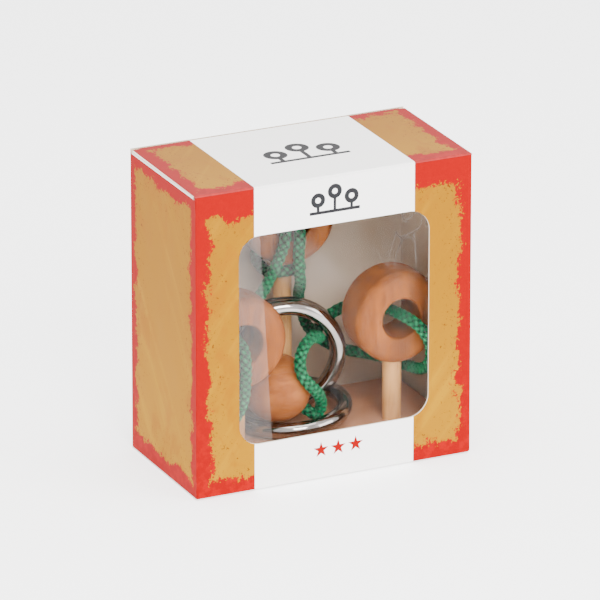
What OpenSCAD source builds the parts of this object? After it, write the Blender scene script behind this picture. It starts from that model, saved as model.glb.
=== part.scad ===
// Window carton holding a wooden ring-and-cord puzzle: a base board with three posts,
// a thick wooden ring on each post, a cord between two wooden balls, and three steel rings.
// Origin: centre of the carton's underside. +Z up, the windowed front faces -Y.

/* [Carton] */
// Width of the carton
carton_w = 94; // [92:0.5:100]
// Depth of the carton
carton_d = 49; // [49:0.5:54]
// Height of the carton
carton_h = 100; // [98:0.5:106]
// Thickness of the folded board
board_t = 0.6; // [0.4:0.1:0.6]
// Width of the window in the front panel
window_w = 65; // [50:1:75]
// Height of the window's lower edge
window_low = 15.5; // [12:0.5:20]
// Height of the window's upper edge
window_high = 84; // [76:0.5:88]
// Corner radius of the window
window_r = 7; // [3:0.5:9]
// Thickness of the window film
film_t = 0.15; // [0.1:0.05:0.3]
// Length of the tuck that holds the lid shut
tuck_len = 9.6; // [6:0.2:9.6]
// How far a dust flap reaches in from the side
dust_reach = 16; // [12:0.5:16]

/* [Puzzle frame] */
// Width of the base board
base_w = 88; // [86:0.5:90]
// Depth of the base board
base_d = 45; // [44:0.5:45]
// Height of the base board's top above the carton's underside
base_top = 10; // [9:0.5:10]
// Diameter of the posts
post_dia = 6; // [5:0.5:6]
// Distance from the centre line to each side post
side_post_x = 27; // [26:0.5:28]
// Height of the side rings' centres
side_ring_z = 45.5; // [44:0.5:46]
// Height of the centre ring's centre
centre_ring_z = 75; // [74:0.5:75]
// Outer diameter of the wooden rings
wood_ring_dia = 30; // [28:0.5:30]
// Diameter of the hole in the wooden rings
wood_ring_hole = 13; // [12:0.5:14]
// Thickness of the wooden rings
wood_ring_len = 14.5; // [13:0.5:14.5]

/* [Loose pieces] */
// Diameter of the wooden balls
ball_dia = 21.6; // [20:0.2:21.6]
// Diameter of the cord
cord_dia = 4; // [3:0.25:4]
// Outer diameter of the steel rings
steel_ring_dia = 40; // [38:0.5:40]
// Thickness of the steel rings' wire
steel_wire = 5; // [4:0.5:5]

/* [Hidden] */

// Board colours
print_yellow = [0.99, 0.72, 0.09];
print_red = [0.93, 0.13, 0.14];
board_white = [0.90, 0.89, 0.87];
beech = [0.74, 0.52, 0.35];
birch = [0.85, 0.70, 0.57];
steel_grey = [0.66, 0.65, 0.65];
cord_green = [0.05, 0.52, 0.33];

// Carton planes
gap = 0.05;
half_w = carton_w / 2;
half_d = carton_d / 2;
lid_z = carton_h - board_t;
flap_z = lid_z - board_t - 4 * gap;
wall_low = board_t;
tuck_gap = 0.8;
lid_back_y = half_d - board_t - tuck_gap;
floor_front_y = -half_d + board_t + tuck_gap;
floor_flap_z = board_t + gap;
flap_front_y = -half_d + board_t + 1;
flap_back_y = half_d - board_t - 1;
flap_taper = 11.5;
glue_flap_w = 12;
film_lap = 4.5;
corner_cut = 3;

// Puzzle frame
side_post_y = -9.5;
centre_post_y = 13.8;
centre_ring_y = 12.3;
base_y = 0.2;
base_low = 2 * board_t + 3 * gap;
base_corner = 2;
post_hole_slack = 0.1;
base_hole_depth = 6;
ring_hole_depth = 4;
ring_edge = 3;
ring_hole_edge = 0.8;

// Balls: where their centres are, and which way the glued hole of each faces
ball_seat = 0.2;
ball_left_at = [-34, 8.5, base_top + ball_seat + ball_dia / 2];
ball_left_mouth = [0, -0.94, -0.34];
ball_right_at = [-10.9, -5.4, 25];
ball_right_mouth = [0.72, -0.33, -0.61];
ball_hole_depth = 8;
ball_hole_slack = 0.4;

// Steel rings: centre, and the direction of each ring's axis
ring_front_at = [-5.4, 1.3, 32.1];
ring_front_axis = [-0.23, -0.96, -0.14];
ring_rear_at = [-3.1, 6.8, 30.6];
ring_rear_axis = [-0.25, -0.96, -0.1];
ring_flat_at = [-2.9, 2.5, 14.3];
ring_flat_axis = [-0.08, -0.03, 1];

// Route of the cord's centre line, from the left ball to the right ball
cord_route = [
    [-34, 4, 19.4], [-34, 0, 17.9], [-34.4, -4.5, 16.6], [-35.3, -9.5, 16.5], [-34.5, -14.5, 18.5],
    [-31.5, -18.5, 22.5], [-29.4, -20.4, 28.5], [-28.7, -20.8, 35], [-28.4, -20.4, 41],
    [-28, -17.8, 44.6], [-27.4, -12.5, 45.3], [-26.8, -6.5, 45.5], [-24.8, -1.5, 45.9], [-21, 0.1, 48],
    [-16.5, 0.2, 51.6], [-12.5, 1.8, 54.4], [-9.8, 2.8, 57.5], [-7.6, 2.8, 61.5], [-5.4, 2.7, 66.2],
    [-3.8, 3.2, 70.8], [-2.8, 6.6, 73.8], [-2.5, 12, 74.6], [-2.7, 19.4, 73.4], [-2.9, 21.7, 69.5],
    [-4, 21.8, 64], [-5.6, 20.9, 58.6], [-6, 16.5, 57.2], [-5.6, 12.5, 56.8], [-3.6, 9.4, 57.3],
    [0, 8.5, 57.6], [3.6, 9.4, 57.3], [5.6, 12.5, 56.8], [6, 16.5, 57.2], [5.6, 20.9, 58.6],
    [4, 21.8, 64], [2.9, 21.7, 69.5], [2.7, 19.4, 73.4], [2.4, 12, 74.6], [2, 6.6, 73.8],
    [1.2, 3.2, 70.8], [0.6, 2.6, 65.5], [0.8, 3, 60], [2.4, 5.3, 54], [3.7, 9.6, 48.8],
    [5.5, 11.2, 42.5], [8.5, 12.8, 36], [13, 13.5, 31], [19, 11, 27.5], [26, 5.5, 26.5], [31, -1, 26],
    [33.8, -8, 25.8], [35, -14.5, 27], [35.4, -19.4, 31], [35, -20.9, 36], [33.8, -20.7, 39.8],
    [31.8, -18.9, 43.2], [29.6, -15, 45], [27.8, -8, 45.4], [25.5, -3, 45.6], [21.5, 1.5, 45.5],
    [17, 5.5, 43.5], [12.5, 7.4, 40.3], [8.4, 6.4, 36.8], [6.8, 1.6, 36.4], [4.6, -3.4, 38.6],
    [0.6, -7.4, 40.6], [-4, -11.2, 39.8], [-7, -14.2, 36.6], [-7.2, -16, 32.6], [-4.8, -16.5, 28.8],
    [-1.4, -15, 25.2], [0.8, -12.8, 21.6], [1.7, -11, 18.2], [0.9, -10.1, 15.9], [-1.3, -9.8, 16.7],
    [-3.8, -8.6, 19], [-6.5, -7.4, 21.3]
];
cord_sides = 8;

// Smoothness
$fn = 64;
fine = 96;

// ---- shapes that repeat ----

// A flat sheet of board: spans are [low, high] along X, Y and Z
module slab(xs, ys, zs) {
    translate([xs[0], ys[0], zs[0]])
        cube([xs[1] - xs[0], ys[1] - ys[0], zs[1] - zs[0]]);
}

// Rounded rectangle without hulls, so that its corners stay true arcs
module rounded(w, h, r) {
    square([w - 2 * r, h], center = true);
    square([w, h - 2 * r], center = true);
    for (sx = [-1, 1], sy = [-1, 1])
        translate([sx * (w / 2 - r), sy * (h / 2 - r)]) circle(r);
}

// Turns +Z to a direction
module point_to(dir) {
    rotate([0, acos(dir[2] / norm(dir)), atan2(dir[1], dir[0])]) children();
}

// ---- carton ----

module front_panel() {
    color(print_yellow)
    translate([0, -half_d + board_t, 0]) rotate([90, 0, 0])
    linear_extrude(board_t)
    difference() {
        translate([-half_w, wall_low + gap]) square([carton_w, lid_z - wall_low - 2 * gap]);
        translate([0, (window_low + window_high) / 2])
            rounded(window_w, window_high - window_low, window_r);
    }
}

module window_film() {
    color([0.85, 0.87, 0.88, 0.3])
    slab([-window_w / 2 - film_lap, window_w / 2 + film_lap],
         [-half_d + board_t, -half_d + board_t + film_t],
         [window_low - film_lap, window_high + film_lap]);
}

module back_panel() {
    color(print_yellow)
    slab([-half_w, half_w], [half_d - board_t, half_d], [wall_low + gap, carton_h]);
}

// Side wall, with the +X side as drawn
module side_wall() {
    slab([half_w - board_t, half_w], [-half_d + board_t, half_d - board_t],
         [wall_low + gap, flap_z - gap]);
}

module left_panel() {
    color(print_yellow) mirror([1, 0, 0]) side_wall();
}

module right_panel() {
    color(print_yellow) side_wall();
}

module glue_flap() {
    color(board_white)
    slab([-half_w + board_t, -half_w + 2 * board_t],
         [half_d - board_t - glue_flap_w, half_d - board_t], [wall_low + 4, flap_z - 4]);
}

module bottom_panel() {
    color(board_white)
    slab([-half_w, half_w], [floor_front_y, half_d], [0, board_t]);
}

module bottom_tuck() {
    color(board_white)
    slab([-half_w + 2, half_w - 2], [floor_front_y, floor_front_y + board_t],
         [board_t, board_t + tuck_len - 1.5]);
}

// Tapered flap that closes a side below the lid or above the floor, with the +X side as drawn
module side_flap(reach) {
    linear_extrude(board_t)
    polygon([[half_w, flap_front_y], [half_w, flap_back_y],
             [half_w - reach, flap_back_y - corner_cut],
             [half_w - reach, flap_front_y + flap_taper]]);
}

module bottom_flap_left() {
    color(board_white) translate([0, 0, floor_flap_z]) mirror([1, 0, 0])
    intersection() {
        side_flap(dust_reach);
        translate([0, floor_front_y + 2 * board_t, -1]) cube([half_w - board_t - gap, carton_d, 3]);
    }
}

module bottom_flap_right() {
    color(board_white) translate([0, 0, floor_flap_z])
    intersection() {
        side_flap(dust_reach);
        translate([0, floor_front_y + 2 * board_t, -1]) cube([half_w - board_t - gap, carton_d, 3]);
    }
}

// The lid's rear corners are cut in by short slits, which lock on the dust flaps
module lid_panel() {
    slit = 2.2;
    color(print_red)
    translate([0, 0, lid_z]) linear_extrude(board_t)
    difference() {
        translate([-half_w, -half_d]) square([carton_w, lid_back_y + half_d]);
        for (side = [-1, 1])
            translate([side * (half_w - slit / 2), lid_back_y - 0.3])
                square([slit + gap, 0.6 + gap], center = true);
    }
}

module lid_tuck() {
    color(board_white)
    translate([0, lid_back_y, lid_z]) rotate([90, 0, 0])
    linear_extrude(board_t)
    polygon([[-half_w + 2.4, 0], [half_w - 2.4, 0], [half_w - 2.8, -tuck_len + corner_cut],
             [half_w - 2.8 - corner_cut, -tuck_len], [-half_w + 2.8 + corner_cut, -tuck_len],
             [-half_w + 2.8, -tuck_len + corner_cut]]);
}

module dust_flap_left() {
    color(board_white) translate([0, 0, flap_z]) mirror([1, 0, 0]) side_flap(dust_reach);
}

module dust_flap_right() {
    color(board_white) translate([0, 0, flap_z]) side_flap(dust_reach);
}

// ---- wooden frame ----

module base_board() {
    hole_r = (post_dia + post_hole_slack) / 2;
    color(beech)
    difference() {
        translate([0, base_y, base_low]) linear_extrude(base_top - base_low)
            rounded(base_w, base_d, base_corner);
        for (at = [[-side_post_x, side_post_y], [side_post_x, side_post_y], [0, centre_post_y]])
            translate([at[0], at[1], base_top - base_hole_depth])
                cylinder(h = base_hole_depth + 1, r = hole_r);
    }
}

// Dowel from the bottom of its hole in the base to the bottom of its hole in the ring
module post(at, ring_z) {
    low = base_top - base_hole_depth + 0.1;
    high = ring_z - wood_ring_dia / 2 + ring_hole_depth - 0.1;
    color(birch) translate([at[0], at[1], low]) cylinder(h = high - low, d = post_dia);
}

module left_post() {
    post([-side_post_x, side_post_y], side_ring_z);
}

module right_post() {
    post([side_post_x, side_post_y], side_ring_z);
}

module centre_post() {
    post([0, centre_post_y], centre_ring_z);
}

// Turned ring with its axis along Y, rounded edges, and a blind hole for its post underneath.
// post_shift is how far the hole is behind the ring's middle
module wood_ring(at, post_shift = 0) {
    half_len = wood_ring_len / 2;
    outer = wood_ring_dia / 2;
    inner = wood_ring_hole / 2;
    color(beech) translate(at)
    difference() {
        rotate([90, 0, 0]) rotate_extrude($fn = fine) {
            translate([inner, -half_len + ring_edge])
                square([outer - inner, wood_ring_len - 2 * ring_edge]);
            translate([inner, -half_len + ring_hole_edge])
                square([outer - ring_edge - inner, wood_ring_len - 2 * ring_hole_edge]);
            translate([inner + ring_hole_edge, -half_len])
                square([outer - ring_edge - inner - ring_hole_edge, wood_ring_len]);
            for (side = [-1, 1]) {
                translate([outer - ring_edge, side * (half_len - ring_edge)]) circle(ring_edge);
                translate([inner + ring_hole_edge, side * (half_len - ring_hole_edge)])
                    circle(ring_hole_edge);
            }
        }
        translate([0, post_shift, -outer - 1])
            cylinder(h = ring_hole_depth + 1, d = post_dia + post_hole_slack);
    }
}

module left_ring() {
    wood_ring([-side_post_x, side_post_y, side_ring_z]);
}

module right_ring() {
    wood_ring([side_post_x, side_post_y, side_ring_z]);
}

module centre_ring() {
    wood_ring([0, centre_ring_y, centre_ring_z], centre_post_y - centre_ring_y);
}

// ---- cord and the pieces on it ----

// Ball with a blind hole, in which an end of the cord is glued
module ball(at, mouth) {
    color(beech) translate(at)
    difference() {
        sphere(d = ball_dia, $fn = fine);
        point_to(mouth) translate([0, 0, ball_dia / 2 - ball_hole_depth])
            cylinder(h = ball_hole_depth + 1, d = cord_dia + ball_hole_slack);
    }
}

module ball_left() {
    ball(ball_left_at, ball_left_mouth);
}

module ball_right() {
    ball(ball_right_at, ball_right_mouth);
}

// The tube has one ring of corners at each point of the route
function unit(v) = v / norm(v);
route_end = len(cord_route) - 1;
function heading(i) = unit(cord_route[min(i + 1, route_end)] - cord_route[max(i - 1, 0)]);

// Sideways direction of each ring, carried along the curve so that the tube doesn't twist
function square_to(v, t) = unit(v - (v * t) * t);
function sides_up_to(n, list) = len(list) > n ? list
    : sides_up_to(n, concat(list, [square_to(list[len(list) - 1], heading(len(list)))]));
side_dirs = sides_up_to(route_end, [square_to([1, 0, 0], heading(0))]);

module cord() {
    points = [
        for (i = [0:route_end], k = [0:cord_sides - 1])
            let (a = 360 * k / cord_sides, s = side_dirs[i], u = cross(heading(i), s))
            cord_route[i] + cord_dia / 2 * (cos(a) * s + sin(a) * u)
    ];
    walls = [
        for (i = [0:route_end - 1], k = [0:cord_sides - 1])
            let (n = (k + 1) % cord_sides, a = i * cord_sides, b = a + cord_sides)
            each [[a + k, b + k, b + n], [a + k, b + n, a + n]]
    ];
    first = [for (k = [0:cord_sides - 1]) k];
    last = [for (k = [cord_sides - 1:-1:0]) route_end * cord_sides + k];
    color(cord_green) polyhedron(points, concat([first], walls, [last]));
}

// Welded ring of round wire
module steel_ring(at, axis) {
    color(steel_grey) translate(at) point_to(axis)
        rotate_extrude($fn = fine) translate([(steel_ring_dia - steel_wire) / 2, 0])
            circle(d = steel_wire, $fn = 32);
}

module steel_ring_front() {
    steel_ring(ring_front_at, ring_front_axis);
}

module steel_ring_rear() {
    steel_ring(ring_rear_at, ring_rear_axis);
}

module steel_ring_flat() {
    steel_ring(ring_flat_at, ring_flat_axis);
}

front_panel();
window_film();
back_panel();
left_panel();
right_panel();
glue_flap();
bottom_panel();
bottom_tuck();
bottom_flap_left();
bottom_flap_right();
lid_panel();
lid_tuck();
dust_flap_left();
dust_flap_right();
base_board();
left_post();
right_post();
centre_post();
left_ring();
right_ring();
centre_ring();
cord();
ball_left();
ball_right();
steel_ring_front();
steel_ring_rear();
steel_ring_flat();
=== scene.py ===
"""A wooden ring-and-cord puzzle in its window carton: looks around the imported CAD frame."""

import math

import bmesh
import bpy
import numpy as np
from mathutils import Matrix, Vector


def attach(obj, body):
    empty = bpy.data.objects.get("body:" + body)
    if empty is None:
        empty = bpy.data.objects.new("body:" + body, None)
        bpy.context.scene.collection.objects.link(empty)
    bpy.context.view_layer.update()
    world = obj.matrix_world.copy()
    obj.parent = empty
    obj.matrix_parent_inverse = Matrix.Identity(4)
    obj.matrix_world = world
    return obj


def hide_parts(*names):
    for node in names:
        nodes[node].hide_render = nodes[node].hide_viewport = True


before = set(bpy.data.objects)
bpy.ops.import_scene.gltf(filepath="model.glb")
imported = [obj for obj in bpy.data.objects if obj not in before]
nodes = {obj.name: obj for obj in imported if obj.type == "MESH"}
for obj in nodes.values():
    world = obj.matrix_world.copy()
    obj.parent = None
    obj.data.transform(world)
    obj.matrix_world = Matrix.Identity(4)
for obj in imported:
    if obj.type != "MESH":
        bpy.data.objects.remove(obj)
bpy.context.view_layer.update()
MM = 0.001
X, Y, Z = (1.0, 0.0, 0.0), (0.0, 1.0, 0.0), (0.0, 0.0, 1.0)
TO_LEFT, TO_FRONT = (-1.0, 0.0, 0.0), (0.0, -1.0, 0.0)

# The carton's outside, in millimetres; its underside is at height 0
HALF_W, HALF_D, TALL = 47.0, 24.5, 100.0


# ---------------------------------------------------------------- camera and studio

CAMERA_LENS = 419.5
CAMERA_DISTANCE = 2.1805
CAMERA_AZIMUTH, CAMERA_ELEVATION = -25.24, 20.65
CAMERA_AIM = Vector((-0.00015, 0.00028, 0.0505))
CAMERA_CLIP_START = 0.05

# Name, azimuth and elevation in degrees, distance and size in metres, power in watts
LIGHTS = (
    ("key", -8, 36, 0.9, 0.32, 8.5),
    ("fill", 42, 20, 1.0, 0.5, 5.0),
    ("top", 0, 80, 0.9, 0.6, 7.0),
)
LIGHT_AIM = Vector((0, 0, 0.05))
SURROUNDINGS_STRENGTH = 2.0
FLOOR_HALF = 3.0
FLOOR_GLOW = 1.7


def link(thing):
    """Puts an object in the scene."""
    bpy.context.scene.collection.objects.link(thing)
    return thing


def direction(azimuth, elevation):
    """Unit vector from the object towards a viewer at that azimuth and elevation, in degrees."""
    a, e = math.radians(azimuth), math.radians(elevation)
    return Vector((math.sin(a) * math.cos(e), -math.cos(a) * math.cos(e), math.sin(e)))


def place_facing(thing, aim, azimuth, elevation, distance):
    """Places a camera or light at that bearing from `aim`, pointed back at it."""
    back = direction(azimuth, elevation)
    thing.location = aim + back * distance
    thing.rotation_euler = back.to_track_quat("Z", "Y").to_euler()


def make_camera():
    """Long lens from the front left and above, aimed at the middle of the carton."""
    data = bpy.data.cameras.new("camera")
    data.lens = CAMERA_LENS
    data.clip_start = CAMERA_CLIP_START
    camera = link(bpy.data.objects.new("camera", data))
    place_facing(camera, CAMERA_AIM, CAMERA_AZIMUTH, CAMERA_ELEVATION, CAMERA_DISTANCE)
    bpy.context.scene.camera = camera


def make_studio():
    """White surroundings, three soft lights and a pale floor."""
    world = bpy.data.worlds.new("studio")
    bpy.context.scene.world = world
    world.use_nodes = True
    background = world.node_tree.nodes["Background"]
    background.inputs["Color"].default_value = (1, 1, 1, 1)
    background.inputs["Strength"].default_value = SURROUNDINGS_STRENGTH
    for name, azimuth, elevation, distance, size, power in LIGHTS:
        data = bpy.data.lights.new(name, "AREA")
        data.size, data.energy = size, power
        lamp = link(bpy.data.objects.new(name, data))
        place_facing(lamp, LIGHT_AIM, azimuth, elevation, distance)
    mesh = bpy.data.meshes.new("floor")
    signs = ((-1, -1), (1, -1), (1, 1), (-1, 1))
    corners = [(x * FLOOR_HALF, y * FLOOR_HALF, 0) for x, y in signs]
    mesh.from_pydata(corners, [], [(0, 1, 2, 3)])
    floor = link(bpy.data.objects.new("floor", mesh))
    paint = Paint("pale_floor")
    paint.surface((0.97, 0.97, 0.97, 1), 0.7, Emission_Color=(1, 1, 1, 1),
                  Emission_Strength=FLOOR_GLOW)
    mesh.materials.append(paint.material)


# ---------------------------------------------------------------- node helpers

def srgb(r, g, b):
    """Linear colour of a 0-255 display colour."""
    def linear(c):
        c /= 255
        return c / 12.92 if c <= 0.04045 else ((c + 0.055) / 1.055) ** 2.4
    return linear(r), linear(g), linear(b), 1.0


class Nodes:
    """Adds nodes to a tree. Each value given to a node may be a socket to join or a constant."""

    def __init__(self, tree):
        self.tree = tree

    def put(self, entry, value):
        """Joins a socket to a node's input, or sets the input's constant."""
        if isinstance(value, bpy.types.NodeSocket):
            self.tree.links.new(value, entry)
        else:
            entry.default_value = value

    def add(self, kind, inputs=None, out=0, **settings):
        """A node of that kind; gives one of its outputs."""
        made = self.tree.nodes.new(kind)
        for name, value in settings.items():
            setattr(made, name, value)
        for key, value in (inputs or {}).items():
            self.put(made.inputs[key], value)
        return made.outputs[out]

    def math(self, operation, *values, clamp=False):
        return self.add("ShaderNodeMath", dict(enumerate(values)), operation=operation,
                        use_clamp=clamp)

    def plus(self, first, *others):
        for value in others:
            first = self.math("ADD", first, value)
        return first

    def minus(self, first, *others):
        for value in others:
            first = self.math("SUBTRACT", first, value)
        return first

    def times(self, first, *others):
        for value in others:
            first = self.math("MULTIPLY", first, value)
        return first

    def smallest(self, first, *others):
        for value in others:
            first = self.math("MINIMUM", first, value)
        return first

    def largest(self, first, *others):
        for value in others:
            first = self.math("MAXIMUM", first, value)
        return first

    def positive(self, value):
        """The value without its sign."""
        return self.math("ABSOLUTE", value)

    def distance(self, x, y):
        """Distance of a flat point from the origin."""
        squares = self.plus(self.math("POWER", x, 2.0), self.math("POWER", y, 2.0))
        return self.math("SQRT", squares)

    def ramp(self, value, low, high, to_low=0.0, to_high=1.0):
        """Smooth step of value from low to high."""
        return self.add("ShaderNodeMapRange", {0: value, 1: low, 2: high, 3: to_low, 4: to_high},
                        interpolation_type="SMOOTHSTEP")

    def mix(self, factor, first, second):
        """Colour mix."""
        made = self.tree.nodes.new("ShaderNodeMix")
        made.data_type = "RGBA"
        self.put(made.inputs[0], factor)
        self.put(made.inputs[6], first)
        self.put(made.inputs[7], second)
        return made.outputs[2]

    def noise(self, vector, scale, detail=3.0, roughness=0.55, distortion=0.0):
        """Noise from 0 to 1 over a position in millimetres."""
        return self.add("ShaderNodeTexNoise", {
            "Vector": vector, "Scale": scale, "Detail": detail, "Roughness": roughness,
            "Distortion": distortion}, noise_dimensions="3D")

    def stretched(self, vector, scale):
        """A position scaled by axis."""
        return self.add("ShaderNodeVectorMath", {0: vector, 1: scale}, operation="MULTIPLY")

    def position(self):
        """Position on the object at rest, in millimetres."""
        place = self.add("ShaderNodeTexCoord", out=3)
        return self.stretched(place, (1 / MM, 1 / MM, 1 / MM))

    def split(self, vector):
        """The three numbers of a position."""
        made = self.tree.nodes.new("ShaderNodeSeparateXYZ")
        self.put(made.inputs[0], vector)
        return made.outputs

    def along(self, vector, axis):
        """How far a position lies along an axis."""
        return self.add("ShaderNodeVectorMath", {0: vector, 1: axis}, out=1,
                        operation="DOT_PRODUCT")

    def group(self, group, inputs):
        """Places a shared effect; gives its outputs by name."""
        made = self.tree.nodes.new("ShaderNodeGroup")
        made.node_tree = group
        for key, value in inputs.items():
            self.put(made.inputs[key], value)
        return made.outputs


class Paint(Nodes):
    """A material with one Principled surface."""

    def __init__(self, name):
        self.material = bpy.data.materials.new(name)
        self.material.use_nodes = True
        super().__init__(self.material.node_tree)
        self.shader = self.tree.nodes["Principled BSDF"]

    def surface(self, base, roughness, bump=None, bump_mm=0.1, strength=1.0, **others):
        """Sets the surface: base and roughness may be sockets; bump is a height from 0 to 1."""
        values = {"Base Color": base, "Roughness": roughness}
        values.update({key.replace("_", " "): value for key, value in others.items()})
        if bump is not None:
            values["Normal"] = self.add("ShaderNodeBump", {
                "Strength": strength, "Distance": bump_mm * MM, "Height": bump})
        for key, value in values.items():
            self.put(self.shader.inputs[key], value)
        return self.material


def new_group(name, inputs, outputs):
    """An empty shared effect with named sockets.

    Gives the group, a maker of its nodes, its inputs, and a way to set its outputs."""
    group = bpy.data.node_groups.new(name, "ShaderNodeTree")
    kinds = {"float": "NodeSocketFloat", "vector": "NodeSocketVector"}
    for key, kind in inputs.items():
        group.interface.new_socket(name=key, in_out="INPUT", socket_type=kinds[kind])
    for key in outputs:
        group.interface.new_socket(name=key, in_out="OUTPUT", socket_type=kinds["float"])
    entry = group.nodes.new("NodeGroupInput")
    leave = group.nodes.new("NodeGroupOutput")

    def give(key, socket):
        group.links.new(socket, leave.inputs[key])

    return group, Nodes(group), entry.outputs, give


# ---------------------------------------------------------------- shared effects

# Half the width of the soft edge of a star or mark, in that mark's own units
LINE_EDGE = 0.03


def make_wood_grain():
    """Long grain bands, short pores and fine fibres along the third axis of Place."""
    group, n, given, give = new_group(
        "wood_grain",
        {"Place": "vector", "Band Scale": "float", "Stretch": "float"},
        ("Tone", "Pores", "Height"))
    band_share, fibre_share, pore_depth = 0.62, 0.38, 0.6
    squeeze = n.add("ShaderNodeCombineXYZ", {0: 1.0, 1: 1.0, 2: given["Stretch"]})
    place = n.stretched(given["Place"], squeeze)
    bands = n.noise(place, given["Band Scale"], 4.0, 0.6, 0.6)
    fibres = n.noise(n.stretched(place, (1.0, 1.0, 0.5)), 2.6, 3.0, 0.7)
    pore_field = n.noise(n.stretched(place, (1.0, 1.0, 0.8)), 2.1, 2.0, 0.5)
    pores = n.ramp(pore_field, 0.56, 0.66)
    tone = n.plus(n.times(bands, band_share), n.times(fibres, fibre_share))
    give("Tone", n.ramp(tone, 0.34, 0.68))
    give("Pores", pores)
    give("Height", n.minus(fibres, n.times(pores, pore_depth)))
    return group


def make_splash_print():
    """Printed field with a brushed, ragged border, streaks and specks.

    Across is measured from the panel's centre line and Up from its lower edge, in millimetres."""
    sizes = ("Across", "Up", "Half Width", "Height", "Side Border", "Top Border", "Low Border",
             "Seed")
    group, n, given, give = new_group(
        "splash_print", {key: "float" for key in sizes},
        ("Border", "Specks", "Streaks", "Drips", "Wash"))
    across, up = given["Across"], given["Up"]
    place = n.add("ShaderNodeCombineXYZ", {0: across, 1: up, 2: given["Seed"]})
    side = n.minus(given["Half Width"], n.positive(across), given["Side Border"])
    top = n.minus(given["Height"], up, given["Top Border"])
    low = n.minus(up, given["Low Border"])
    inside = n.smallest(n.smallest(top, low), side)

    # The border wanders by these amounts in millimetres, from broad to brushed
    broad_mm, ragged_mm, brushed_mm, edge_mm = 8.5, 9.0, 3.5, 0.12
    broad = n.minus(n.noise(place, 0.14, 2.0, 0.5), 0.5)
    ragged = n.minus(n.noise(place, 0.9, 5.0, 0.72, 0.4), 0.5)
    brushed = n.minus(n.noise(n.stretched(place, (1.6, 0.35, 1.0)), 0.8, 4.0, 0.65), 0.5)
    edge = n.plus(inside, n.times(broad, broad_mm), n.times(ragged, ragged_mm),
                  n.times(brushed, brushed_mm))
    give("Border", n.ramp(edge, -edge_mm, edge_mm, 1.0, 0.0))

    # Specks gather within this distance of the border
    speck_reach, speck_limit, speck_gain = 17.0, 0.735, 0.10
    near = n.ramp(inside, 0.0, speck_reach, 1.0, 0.0)
    dots = n.noise(place, 1.0, 2.5, 0.6, 1.2)
    limit = n.minus(speck_limit, n.times(near, speck_gain))
    give("Specks", n.ramp(n.minus(dots, limit), 0.0, 0.012))

    slant = n.add("ShaderNodeVectorRotate", {"Vector": place, "Angle": math.radians(38)},
                  rotation_type="Z_AXIS")
    streaks = n.noise(n.stretched(slant, (0.7, 0.045, 1.0)), 0.3, 3.0, 0.6)
    give("Streaks", n.ramp(streaks, 0.5, 0.74))
    wash = n.noise(n.stretched(place, (1.0, 0.5, 1.0)), 0.11, 4.0, 0.65, 0.6)
    give("Wash", n.times(n.ramp(wash, 0.5, 0.66), n.ramp(inside, 0.0, 26.0, 1.0, 0.25)))
    give("Drips", n.ramp(n.noise(place, 0.35, 3.0, 0.6), 0.45, 0.62))
    return group


def make_paper_fibre():
    """Fine flecks and tooth of uncoated board."""
    group, n, given, give = new_group("paper_fibre", {"Place": "vector"}, ("Flecks", "Height"))
    fine = n.noise(given["Place"], 5.0, 4.0, 0.7)
    coarse = n.noise(n.stretched(given["Place"], (1.0, 1.0, 0.25)), 1.4, 3.0, 0.6)
    both = n.plus(n.times(fine, 0.5), n.times(coarse, 0.5))
    give("Flecks", n.ramp(both, 0.36, 0.64))
    give("Height", both)
    return group


def make_star():
    """Five-pointed star: Mask is 1 inside."""
    group, n, given, give = new_group(
        "star", {"Across": "float", "Up": "float", "Radius": "float"}, ("Mask",))
    fifth = 2 * math.pi / 5
    # The direction square to a star's side, measured from the tip beside it
    slope_cos, slope_sin = 0.309, 0.951
    turn = n.math("ARCTAN2", given["Across"], given["Up"])
    away = n.distance(given["Across"], given["Up"])
    within_fifth = n.math("FLOORED_MODULO", n.plus(turn, fifth / 2), fifth)
    from_tip = n.positive(n.minus(within_fifth, fifth / 2))
    reach = n.plus(n.times(n.math("COSINE", from_tip), slope_cos),
                   n.times(n.math("SINE", from_tip), slope_sin))
    inside = n.minus(n.times(given["Radius"], slope_cos), n.times(away, reach))
    give("Mask", n.ramp(inside, -LINE_EDGE, LINE_EDGE))
    return group


def make_puzzle_mark():
    """Small picture of three posts with a ring on each: Mask is 1 on its lines.

    It is 18 wide and about 10 high."""
    group, n, given, give = new_group(
        "puzzle_mark", {"Across": "float", "Up": "float"}, ("Mask",))

    def box(x, y, half_x, half_y):
        beside = n.minus(n.positive(n.minus(given["Across"], x)), half_x)
        above = n.minus(n.positive(n.minus(given["Up"], y)), half_y)
        return n.largest(beside, above)

    ring_radius, half_line, post_half_wide, ring_low = 1.75, 0.78, 0.5, 1.9
    nearest = box(0.0, 0.3, 9.0, 0.55)
    for x, y in ((-6.0, 4.6), (0.0, 7.0), (6.0, 4.6)):
        away = n.distance(n.minus(given["Across"], x), n.minus(given["Up"], y))
        ring = n.minus(n.positive(n.minus(away, ring_radius)), half_line)
        post_half_high = (y - ring_low) / 2
        post = box(x, post_half_high, post_half_wide, post_half_high)
        nearest = n.smallest(nearest, n.smallest(ring, post))
    give("Mask", n.ramp(nearest, -LINE_EDGE, LINE_EDGE, 1.0, 0.0))
    return group


def make_slow_waves():
    """Gentle unevenness of a flat laminated sheet."""
    group, n, given, give = new_group("slow_waves", {"Place": "vector"}, ("Height",))
    give("Height", n.noise(given["Place"], 0.045, 2.0, 0.45))
    return group


WOOD_GRAIN = make_wood_grain()
SPLASH_PRINT = make_splash_print()
PAPER_FIBRE = make_paper_fibre()
SLOW_WAVES = make_slow_waves()
STAR = make_star()
PUZZLE_MARK = make_puzzle_mark()


# ---------------------------------------------------------------- cord

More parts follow.
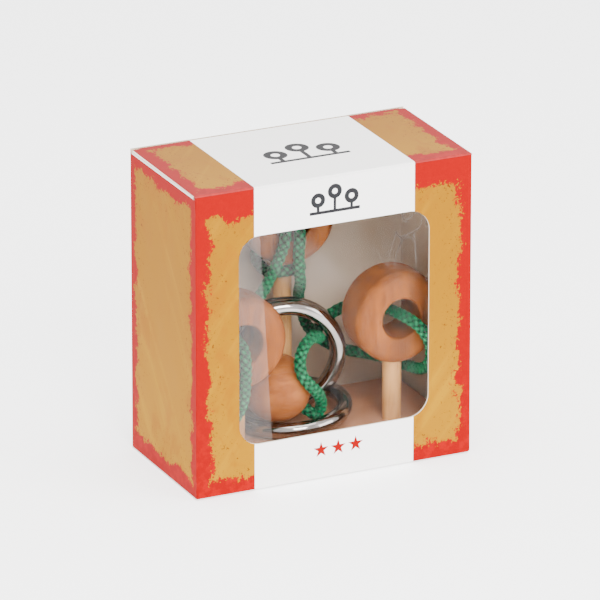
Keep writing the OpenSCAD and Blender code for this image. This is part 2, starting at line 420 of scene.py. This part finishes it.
# The cord's route from the left ball to the right ball, in millimetres
CORD_ROUTE_MM = [
    (-34, 4, 19.4), (-34, 0, 17.9), (-34.4, -4.5, 16.6), (-35.3, -9.5, 16.5), (-34.5, -14.5, 18.5),
    (-31.5, -18.5, 22.5), (-29.4, -20.4, 28.5), (-28.7, -20.8, 35), (-28.4, -20.4, 41),
    (-28, -17.8, 44.6), (-27.4, -12.5, 45.3), (-26.8, -6.5, 45.5), (-24.8, -1.5, 45.9),
    (-21, 0.1, 48), (-16.5, 0.2, 51.6), (-12.5, 1.8, 54.4), (-9.8, 2.8, 57.5), (-7.6, 2.8, 61.5),
    (-5.4, 2.7, 66.2), (-3.8, 3.2, 70.8), (-2.8, 6.6, 73.8), (-2.5, 12, 74.6), (-2.7, 19.4, 73.4),
    (-2.9, 21.7, 69.5), (-4, 21.8, 64), (-5.6, 20.9, 58.6), (-6, 16.5, 57.2), (-5.6, 12.5, 56.8),
    (-3.6, 9.4, 57.3), (0, 8.5, 57.6), (3.6, 9.4, 57.3), (5.6, 12.5, 56.8), (6, 16.5, 57.2),
    (5.6, 20.9, 58.6), (4, 21.8, 64), (2.9, 21.7, 69.5), (2.7, 19.4, 73.4), (2.4, 12, 74.6),
    (2, 6.6, 73.8), (1.2, 3.2, 70.8), (0.6, 2.6, 65.5), (0.8, 3, 60), (2.4, 5.3, 54),
    (3.7, 9.6, 48.8), (5.5, 11.2, 42.5), (8.5, 12.8, 36), (13, 13.5, 31), (19, 11, 27.5),
    (26, 5.5, 26.5), (31, -1, 26), (33.8, -8, 25.8), (35, -14.5, 27), (35.4, -19.4, 31),
    (35, -20.9, 36), (33.8, -20.7, 39.8), (31.8, -18.9, 43.2), (29.6, -15, 45), (27.8, -8, 45.4),
    (25.5, -3, 45.6), (21.5, 1.5, 45.5), (17, 5.5, 43.5), (12.5, 7.4, 40.3), (8.4, 6.4, 36.8),
    (6.8, 1.6, 36.4), (4.6, -3.4, 38.6), (0.6, -7.4, 40.6), (-4, -11.2, 39.8), (-7, -14.2, 36.6),
    (-7.2, -16, 32.6), (-4.8, -16.5, 28.8), (-1.4, -15, 25.2), (0.8, -12.8, 21.6),
    (1.7, -11, 18.2), (0.9, -10.1, 15.9), (-1.3, -9.8, 16.7), (-3.8, -8.6, 19), (-6.5, -7.4, 21.3),
]
STRANDS_EACH_WAY = 4
STRAND_PITCH = 8.6 * MM
# A strand's middle, its swing over and under the others, and half its thickness and width
STRAND_MIDDLE, STRAND_SWING = 1.36 * MM, 0.2 * MM
STRAND_HALF_THICK, STRAND_HALF_WIDE = 0.42 * MM, 0.72 * MM
CORE_RADIUS = 1.2 * MM
RING_STEP = 0.42 * MM
RING_CORNERS = 8
CURVE_STEPS = 12
# A strand's sides keep this share of its height; a strand neither over nor under has this height
SIDE_HEIGHT, MIDDLE_HEIGHT = 0.35, 0.6


def unit(rows):
    """The same directions with length 1."""
    return rows / np.linalg.norm(rows, axis=1)[:, None]


def smooth_line(points, step):
    """Catmull-Rom curve through the points, in even steps, and the distance run at each."""
    p = np.array(points, float)
    p = np.vstack([2 * p[0] - p[1], p, 2 * p[-1] - p[-2]])
    fine = []
    for a, b, c, d in zip(p[:-3], p[1:-2], p[2:-1], p[3:]):
        for t in np.linspace(0, 1, CURVE_STEPS, endpoint=False):
            fine.append(0.5 * (2 * b + (c - a) * t + (2 * a - 5 * b + 4 * c - d) * t * t
                               + (3 * b - a - 3 * c + d) * t ** 3))
    fine = np.array(fine + [p[-2]])
    run = np.r_[0, np.cumsum(np.linalg.norm(np.diff(fine, axis=0), axis=1))]
    even = np.linspace(0, run[-1], int(run[-1] / step) + 1)
    return np.stack([np.interp(even, run, fine[:, k]) for k in range(3)], axis=1), even


def carried_frames(line):
    """Two directions square to the line at each point, carried along it without twist."""
    heading = unit(np.gradient(line, axis=0))
    side = np.zeros_like(line)
    carried = np.array(X)
    for i, t in enumerate(heading):
        carried = carried - carried.dot(t) * t
        carried /= np.linalg.norm(carried)
        side[i] = carried
    return side, np.cross(heading, side)


def sweep(work, height, centre, out, wide, half_thick, half_wide, lift):
    """A strand along `centre`; `out` and `wide` are its directions at each ring.

    `height` keeps how high each point lies in the braid, from 0 in a gap to 1 on top."""
    rings = []
    for c, o, w, raised in zip(centre, out, wide, lift):
        ring = []
        for k in range(RING_CORNERS):
            a = 2 * math.pi * k / RING_CORNERS
            v = work.verts.new(c + o * half_thick * math.cos(a) + w * half_wide * math.sin(a))
            v[height] = raised * (SIDE_HEIGHT + (1 - SIDE_HEIGHT) * max(0.0, math.cos(a)))
            ring.append(v)
        rings.append(ring)
    for a, b in zip(rings, rings[1:]):
        for k in range(RING_CORNERS):
            after = (k + 1) % RING_CORNERS
            work.faces.new((a[k], a[after], b[after], b[k]))
    work.faces.new(rings[0][::-1])
    work.faces.new(rings[-1])


def make_cord():
    """Braided cord round a core.

    Two families of flat strands wind opposite ways, and cross over and under each other."""
    line, run = smooth_line(np.array(CORD_ROUTE_MM) * MM, RING_STEP)
    side, other = carried_frames(line)
    mesh = bpy.data.meshes.new("braided_cord")
    work = bmesh.new()
    height = work.verts.layers.float.new("height")
    turns = 2 * math.pi * run / STRAND_PITCH
    for way in (1, -1):
        over = way * np.cos(STRANDS_EACH_WAY * turns)
        for k in range(STRANDS_EACH_WAY):
            angle = way * turns + 2 * math.pi * k / STRANDS_EACH_WAY
            out = side * np.cos(angle)[:, None] + other * np.sin(angle)[:, None]
            centre = line + out * (STRAND_MIDDLE + STRAND_SWING * over)[:, None]
            wide = unit(np.cross(unit(np.gradient(centre, axis=0)), out))
            sweep(work, height, centre, out, wide, STRAND_HALF_THICK, STRAND_HALF_WIDE,
                  MIDDLE_HEIGHT + (1 - MIDDLE_HEIGHT) * over)
    sweep(work, height, line, side, other, CORE_RADIUS, CORE_RADIUS, np.zeros(len(line)))
    work.to_mesh(mesh)
    work.free()
    mesh.polygons.foreach_set("use_smooth", [True] * len(mesh.polygons))
    mesh.materials.append(cord_material())
    cord = link(bpy.data.objects.new("braided_cord", mesh))
    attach(cord, "puzzle")
    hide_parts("cord")


def cord_material():
    """Green braid with a slight sheen: fibres on each strand, painted shade in the gaps between
    strands and on the core, and a painted highlight on the strand tops.
    """
    # The first colour is painted shade for the gaps and the core; the last is a painted highlight
    # for the strand tops.
    painted_gap_shade_green, strand_green = (0.0, 0.004, 0.0015, 1), (0.0, 0.058, 0.020, 1)
    painted_highlight_green = (0.01, 0.28, 0.105, 1)
    p = Paint("green_braid")
    place = p.position()
    height = p.add("ShaderNodeAttribute", out=2, attribute_name="height")
    fibre = p.noise(place, 4.0, 3.0, 0.7)
    patch = p.noise(place, 0.6, 2.0, 0.5)
    # Painted shade: darker where the braid's height is low, in the gaps and on the core.
    deep = p.mix(p.ramp(height, 0.2, 0.66), painted_gap_shade_green, strand_green)
    # Painted highlight: lighter green on the tops of the strands.
    painted_highlight_share = p.times(p.ramp(patch, 0.35, 0.65, 0.35, 1.0), p.ramp(height, 0.55, 0.98),
                     p.ramp(fibre, 0.3, 0.6, 0.5, 1.0))
    colour = p.mix(painted_highlight_share, deep, painted_highlight_green)
    return p.surface(colour, p.ramp(fibre, 0.3, 0.7, 0.34, 0.5), bump=fibre, bump_mm=0.12,
                     strength=0.6, Specular_IOR_Level=0.15)


# ---------------------------------------------------------------- wood

GRAIN_BAND_SCALE = 0.35
GRAIN_BUMP_MM = 0.05
PORE_SHARE = 0.5
BLOTCH_SHARE = 0.22

# Material, light, dark and pore colours, the grain's axis and stretch, and the nodes of that wood
WOODS = (
    ("waxed_beech", (0.295, 0.090, 0.018, 1), (0.125, 0.032, 0.006, 1), (0.06, 0.015, 0.004, 1),
     "z", 0.14, ("left_ring", "right_ring", "centre_ring")),
    ("ball_beech", (0.37, 0.122, 0.029, 1), (0.20, 0.055, 0.012, 1), (0.09, 0.022, 0.005, 1),
     "x", 0.16, ("ball_left", "ball_right")),
    ("birch_dowel", (0.74, 0.38, 0.135, 1), (0.58, 0.28, 0.095, 1), (0.36, 0.15, 0.05, 1),
     "z", 0.08, ("left_post", "right_post", "centre_post")),
    ("base_beech", (0.52, 0.25, 0.135, 1), (0.37, 0.16, 0.08, 1), (0.19, 0.075, 0.038, 1),
     "x", 0.08, ("base_board",)),
)


def wood_material(name, light, dark, pore, along, stretch):
    """Wood with its grain along an axis of the object, 'x' or 'z'."""
    p = Paint(name)
    place = p.position()
    parts = p.split(place)
    order = {"x": (1, 2, 0), "z": (0, 1, 2)}[along]
    turned = p.add("ShaderNodeCombineXYZ", {k: parts[axis] for k, axis in enumerate(order)})
    grain = p.group(WOOD_GRAIN, {
        "Place": turned, "Band Scale": GRAIN_BAND_SCALE, "Stretch": stretch})
    colour = p.mix(grain["Tone"], dark, light)
    colour = p.mix(p.times(grain["Pores"], PORE_SHARE), colour, pore)
    blotch = p.noise(place, 0.09, 2.0, 0.5)
    colour = p.mix(p.ramp(blotch, 0.35, 0.7, 0.0, BLOTCH_SHARE), colour, dark)
    return p.surface(colour, p.ramp(grain["Tone"], 0.0, 1.0, 0.42, 0.56), bump=grain["Height"],
                     bump_mm=GRAIN_BUMP_MM, strength=0.7, Specular_IOR_Level=0.1)


# ---------------------------------------------------------------- steel

def steel_material():
    """Polished steel with faint rubbing marks."""
    darker, brighter = (0.24, 0.215, 0.20, 1), (0.33, 0.305, 0.29, 1)
    p = Paint("polished_steel")
    place = p.position()
    marks = p.noise(p.stretched(place, (1.0, 1.0, 4.0)), 1.2, 4.0, 0.7)
    cloud = p.noise(place, 0.12, 2.0, 0.5)
    colour = p.mix(p.ramp(cloud, 0.3, 0.7), darker, brighter)
    return p.surface(colour, p.ramp(marks, 0.35, 0.7, 0.06, 0.16), bump=marks, bump_mm=0.01,
                     strength=0.3, Metallic=1.0)


# ---------------------------------------------------------------- carton

RED = (0.25, 0.0, 0.0002, 1.0)
PINK_RED = (0.31, 0.001, 0.001, 1.0)
YELLOW = (0.26, 0.108, 0.0, 1.0)
DEEP_YELLOW = (0.26, 0.092, 0.0, 1.0)
PALE_YELLOW = (0.34, 0.158, 0.0, 1.0)
WHITE = (0.97, 0.95, 0.93, 1.0)
RAW_BOARD = (0.60, 0.47, 0.35, 1.0)
RAW_SHADE = (0.50, 0.38, 0.28, 1.0)
CUT_EDGE = (0.85, 0.78, 0.66, 1.0)
SPECK = (0.10, 0.010, 0.002, 1.0)
CHARCOAL = (0.02, 0.02, 0.022, 1.0)
PLAIN_WHITE = srgb(228, 224, 218)
PLAIN_SHADE = srgb(198, 190, 180)

BAND_HALF_W = 27.3
BAND_EDGE = 0.06
STAR_RADIUS = 2.7
FOLD_RADIUS = 0.42 * MM
# Print reaches this far in from a fold and fades out this much to each side, in millimetres
FOLD_PRINT, FOLD_FADE = 1.0, 0.1
# The lid's print is this deep, in millimetres
LID_DEEP = 48.0
# How near a point is to a wall, in metres, when it counts as on it
ON_WALL = 2e-5
SAME_POINT = 0.002 * MM
SHORTEST_FOLD = 1 * MM

FACE = {"across": X, "up": Z, "half_width": HALF_W, "low_edge": 0.0, "height": TALL,
        "band": BAND_HALF_W}
SIDE = {"across": Y, "up": Z, "half_width": HALF_D, "low_edge": 0.0, "height": TALL,
        "borders": (4.0, 5.5, 6.0)}

# Node, body, material, and how it is printed
PANELS = (
    ("front_panel", "carton", "print_front", {
        **FACE, "out": TO_FRONT, "borders": (4.5, 9.0, 5.0), "seed": 3.0,
        "marks": ((0.0, 88.0, 0.95),), "stars": ((-4.6, 9.9), (1.3, 9.9), (7.3, 10.0))}),
    ("back_panel", "carton", "print_back", {
        **FACE, "out": Y, "borders": (5.0, 8.0, 6.0), "seed": 17.0}),
    ("left_panel", "carton", "print_left", {**SIDE, "out": TO_LEFT, "seed": 29.0}),
    ("right_panel", "carton", "print_right", {**SIDE, "out": X, "seed": 41.0}),
    ("lid_panel", "lid", "print_lid", {
        **FACE, "up": Y, "low_edge": -HALF_D, "height": LID_DEEP, "out": Z,
        "borders": (4.5, 3.5, 6.0), "seed": 53.0, "marks": ((0.0, 17.0, 1.5),),
        "free_sides": True, "painted_glare": 0.025}),
)
PLAIN_NODES = ("glue_flap", "bottom_panel", "bottom_tuck", "bottom_flap_left", "bottom_flap_right",
               "lid_tuck", "dust_flap_left", "dust_flap_right")


def printed_material(name, across, up, out, half_width, low_edge, height, borders, seed,
                     band=0.0, marks=(), stars=(), free_sides=False, painted_glare=0.0):
    """Coated print on one face of a panel; the other face is bare board with pale cut edges.

    across, up and out are the panel's axes; borders are side, top and low; band is half the
    white band's width, or 0 for none. marks are (x, y, size) and stars are (x, y).
    The folds at the panel's outline are printed too; with free_sides only the lower one is.
    The last argument, a share of white laid over the print, is a painted reflection."""
    p = Paint(name)
    place = p.position()
    u = p.along(place, across)
    v = p.minus(p.along(place, up), low_edge)
    pattern = p.group(SPLASH_PRINT, {
        "Across": u, "Up": v, "Half Width": half_width, "Height": height, "Seed": seed,
        "Side Border": borders[0], "Top Border": borders[1], "Low Border": borders[2]})
    low_down = p.ramp(v, 0.0, 0.75 * height, 0.6, 0.0)
    paler = p.math("ADD", p.times(pattern["Streaks"], 0.6), low_down, clamp=True)
    field = p.mix(paler, YELLOW, PALE_YELLOW)
    field = p.mix(p.times(pattern["Wash"], 0.75), field, DEEP_YELLOW)
    pinker = p.times(pattern["Drips"], p.ramp(v, 0.0, 0.4 * height, 1.0, 0.15))
    colour = p.mix(p.times(pattern["Specks"], 0.8), field, SPECK)
    colour = p.mix(pattern["Border"], colour, p.mix(pinker, RED, PINK_RED))
    if band:
        on_band = p.ramp(p.positive(u), band - BAND_EDGE, band + BAND_EDGE, 1.0, 0.0)
        colour = p.mix(on_band, colour, WHITE)
    for x, y, size in marks:
        mark = p.group(PUZZLE_MARK, {
            "Across": p.math("DIVIDE", p.minus(u, x), size),
            "Up": p.math("DIVIDE", p.minus(v, y), size)})
        colour = p.mix(mark["Mask"], colour, CHARCOAL)
    for x, y in stars:
        star = p.group(STAR, {
            "Across": p.minus(u, x), "Up": p.minus(v, y), "Radius": STAR_RADIUS})
        colour = p.mix(star["Mask"], colour, RED)
    # Painted reflection: a share of white laid evenly over the print.
    if painted_glare:
        colour = p.mix(painted_glare, colour, WHITE)

    facing = p.along(p.add("ShaderNodeTexCoord", out=1), out)
    fibre = p.group(PAPER_FIBRE, {"Place": place})
    bare = p.mix(p.times(fibre["Flecks"], 0.35), RAW_BOARD, RAW_SHADE)

    def near(from_edge):
        return p.ramp(from_edge, FOLD_PRINT - FOLD_FADE, FOLD_PRINT + FOLD_FADE, 1.0, 0.0)

    folded = near(v)
    if not free_sides:
        folded = p.largest(folded, near(p.minus(half_width, p.positive(u))),
                           near(p.minus(height, v)))
    printed = p.largest(p.ramp(facing, 0.6, 0.8), p.times(folded, p.ramp(facing, -0.6, -0.4)))
    inner = p.ramp(facing, -0.8, -0.6, 1.0, 0.0)
    colour = p.mix(printed, CUT_EDGE, colour)
    colour = p.mix(inner, colour, bare)
    waves = p.group(SLOW_WAVES, {"Place": place})
    relief = p.plus(waves["Height"], p.times(fibre["Height"], 0.004))
    return p.surface(colour, p.ramp(printed, 0.0, 1.0, 0.85, 0.5), bump=relief, bump_mm=0.7,
                     strength=0.5, Specular_IOR_Level=0.03)


def plain_board_material():
    """Unprinted board with a chalky white coat."""
    p = Paint("plain_board")
    fibre = p.group(PAPER_FIBRE, {"Place": p.position()})
    colour = p.mix(p.times(fibre["Flecks"], 0.4), PLAIN_WHITE, PLAIN_SHADE)
    return p.surface(colour, 0.8, bump=fibre["Height"], bump_mm=0.05, strength=0.6)


def film_material():
    """Clear film, mostly see-through.

    Alpha is higher where reflections are painted: a bowed band at the left, a slanted band near
    the top, and painted dark reflections on a few creases in the upper right corner. Positions are
    in millimetres."""
    veil_reflection_alpha, glance_reflection_alpha, crease_reflection_alpha = 0.065, 0.035, 0.22
    p = Paint("clear_film")
    place = p.position()
    parts = p.split(place)
    across, up = parts[0], parts[2]
    # A bowed band at the left and a slanted band near the top are painted reflections, laid on
    # through alpha; a faint noise haze is added to them.
    bowed = p.plus(across, p.times(p.minus(up, TALL / 2), 0.06))
    veil_reflection = p.ramp(bowed, -23.2, -22.9, veil_reflection_alpha, 0.0)
    slant = p.plus(across, p.times(up, 0.9))
    glance_reflection = p.times(p.ramp(slant, 42.0, 46.0), p.ramp(slant, 60.0, 66.0, glance_reflection_alpha, 0.0),
                     p.ramp(up, 58.0, 70.0))
    slack = p.noise(p.stretched(place, (1.0, 1.0, 0.35)), 0.06, 3.0, 0.5, 1.2)
    reflection_and_haze = p.plus(veil_reflection, glance_reflection, p.ramp(slack, 0.45, 0.7, 0.006, 0.02))
    # A few creases in the upper right corner get painted dark reflections: a dark tint and higher
    # alpha.
    bend = p.noise(p.stretched(place, (1.0, 1.0, 0.45)), 0.16, 1.0, 0.4, 0.8)
    dark_crease_reflection = p.times(p.ramp(p.positive(p.minus(bend, 0.5)), 0.004, 0.03, 1.0, 0.0),
                     p.ramp(across, 12.0, 24.0), p.ramp(up, 58.0, 74.0))
    alpha = p.plus(reflection_and_haze, p.times(dark_crease_reflection, crease_reflection_alpha))
    tint_and_crease_reflection = p.mix(dark_crease_reflection, (0.36, 0.34, 0.33, 1), (0.05, 0.04, 0.035, 1))
    return p.surface(tint_and_crease_reflection, 0.05, bump=slack, bump_mm=1.2, strength=0.5, Alpha=alpha,
                     Metallic=1.0)


def give_material(names, material):
    """Puts one material on each of those CAD nodes."""
    for name in names:
        mesh = nodes[name].data
        mesh.materials.clear()
        mesh.materials.append(material)


def is_fold(edge):
    """Whether an edge lies where two of the carton's outside walls meet."""
    walls = [(axis, sign * half * MM) for axis, half in enumerate((HALF_W, HALF_D))
             for sign in (1, -1)]
    walls += [(2, 0.0), (2, TALL * MM)]
    a, b = (v.co for v in edge.verts)
    shared = sum(max(abs(a[axis] - at), abs(b[axis] - at)) < ON_WALL for axis, at in walls)
    return shared == 2 and (a - b).length > SHORTEST_FOLD


def soften_folds(node, body, material):
    """Stands in for a panel with one whose edges on the carton's outline are rounded folds."""
    mesh = nodes[node].data.copy()
    work = bmesh.new()
    work.from_mesh(mesh)
    bmesh.ops.transform(work, matrix=nodes[node].matrix_world, verts=work.verts)
    bmesh.ops.remove_doubles(work, verts=work.verts, dist=SAME_POINT)
    folds = [edge for edge in work.edges if is_fold(edge)]
    bmesh.ops.bevel(work, geom=folds, offset=FOLD_RADIUS, segments=3, profile=0.5,
                    affect="EDGES", clamp_overlap=True)
    work.to_mesh(mesh)
    work.free()
    mesh.materials.clear()
    mesh.materials.append(material)
    panel = link(bpy.data.objects.new(node + "_folded", mesh))
    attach(panel, body)
    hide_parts(node)


# ---------------------------------------------------------------- the whole part

make_camera()
make_cord()
make_studio()
give_material(("steel_ring_front", "steel_ring_rear", "steel_ring_flat"), steel_material())
for *look, members in WOODS:
    give_material(members, wood_material(*look))
for node, body, material_name, printing in PANELS:
    soften_folds(node, body, printed_material(material_name, **printing))
give_material(PLAIN_NODES, plain_board_material())
give_material(("window_film",), film_material())
